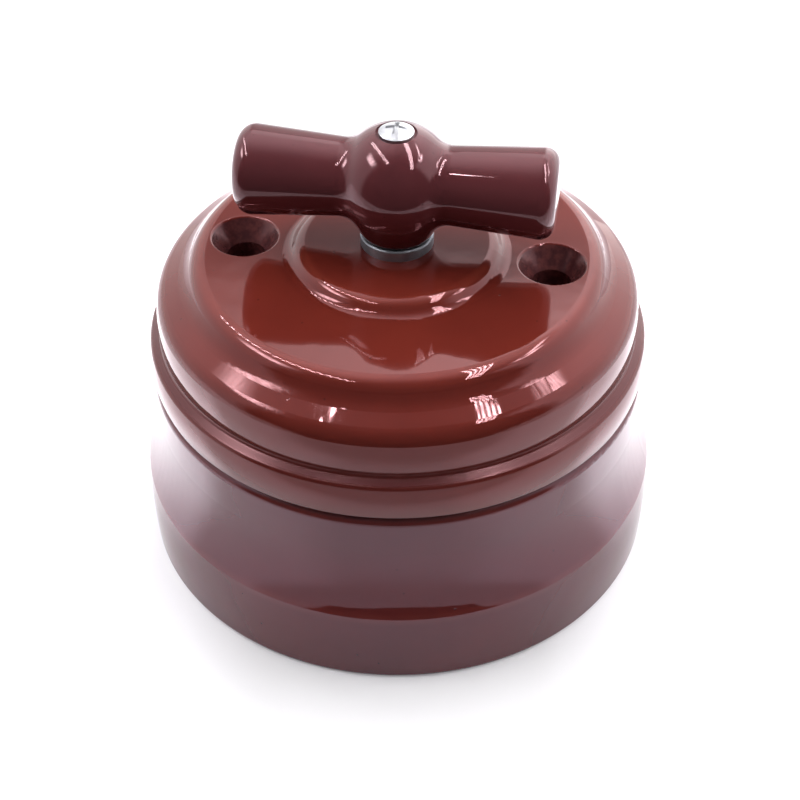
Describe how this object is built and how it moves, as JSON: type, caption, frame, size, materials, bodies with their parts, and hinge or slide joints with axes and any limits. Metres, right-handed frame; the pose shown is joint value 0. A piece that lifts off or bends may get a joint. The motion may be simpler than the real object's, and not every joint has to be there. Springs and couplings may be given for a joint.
{
  "type": "porcelain rotary switch",
  "caption": "Round surface-mounted porcelain light switch with a moulded cover, a bar knob on a turning spindle and countersunk fixing holes.",
  "frame": {"origin": "middle of the wall face of the base, at the height where its foot ring touches the wall", "axes": "+Z out of the wall along the spindle, X along the line of the two fixing holes and, at rest, of the knob's bar"},
  "size_m": [0.07, 0.0699, 0.0615],
  "materials": {
    "porcelain": "high gloss deep red-brown glaze",
    "knob_porcelain": "high gloss maroon glaze",
    "plated_ring": "satin grey plating",
    "plated_screw": "bright zinc plating",
    "brass": "bright brass",
    "steel": "zinc plated",
    "fibre": "matt vulcanised fibre",
    "phenolic": "satin dark brown phenolic"
  },
  "bodies": {
    "housing": {"base": "porcelain", "cover": "porcelain", "ring_nut": "plated_ring", "threaded_bush": "brass", "terminal_block_1": "brass", "terminal_block_2": "brass", "terminal_block_3": "brass", "terminal_block_4": "brass", "fixed_contact_1": "brass", "fixed_contact_2": "brass", "fixed_contact_3": "brass", "fixed_contact_4": "brass", "mounting_strap": "steel", "strap_screws": "steel", "terminal_screws": "steel", "guard_screws": "steel", "leaf_spring_left": "steel", "leaf_spring_right": "steel", "fibre_washer": "fibre", "contact_guard": "fibre", "switch_block": "phenolic"},
    "knob_spindle": {"knob": "knob_porcelain", "knob_screw": "plated_screw", "spindle": "steel", "index_cam": "phenolic", "contact_rotor": "phenolic", "bridge_contact": "brass", "retaining_clip": "steel"}
  },
  "joints": [
    {"name": "knob_turn", "type": "hinge", "parent": "housing", "child": "knob_spindle", "pos_m": [0, 0, 0.05365], "axis": [0, 0, 1], "continuous": true, "deforming": ["leaf_spring_left", "leaf_spring_right"]}
  ]
}
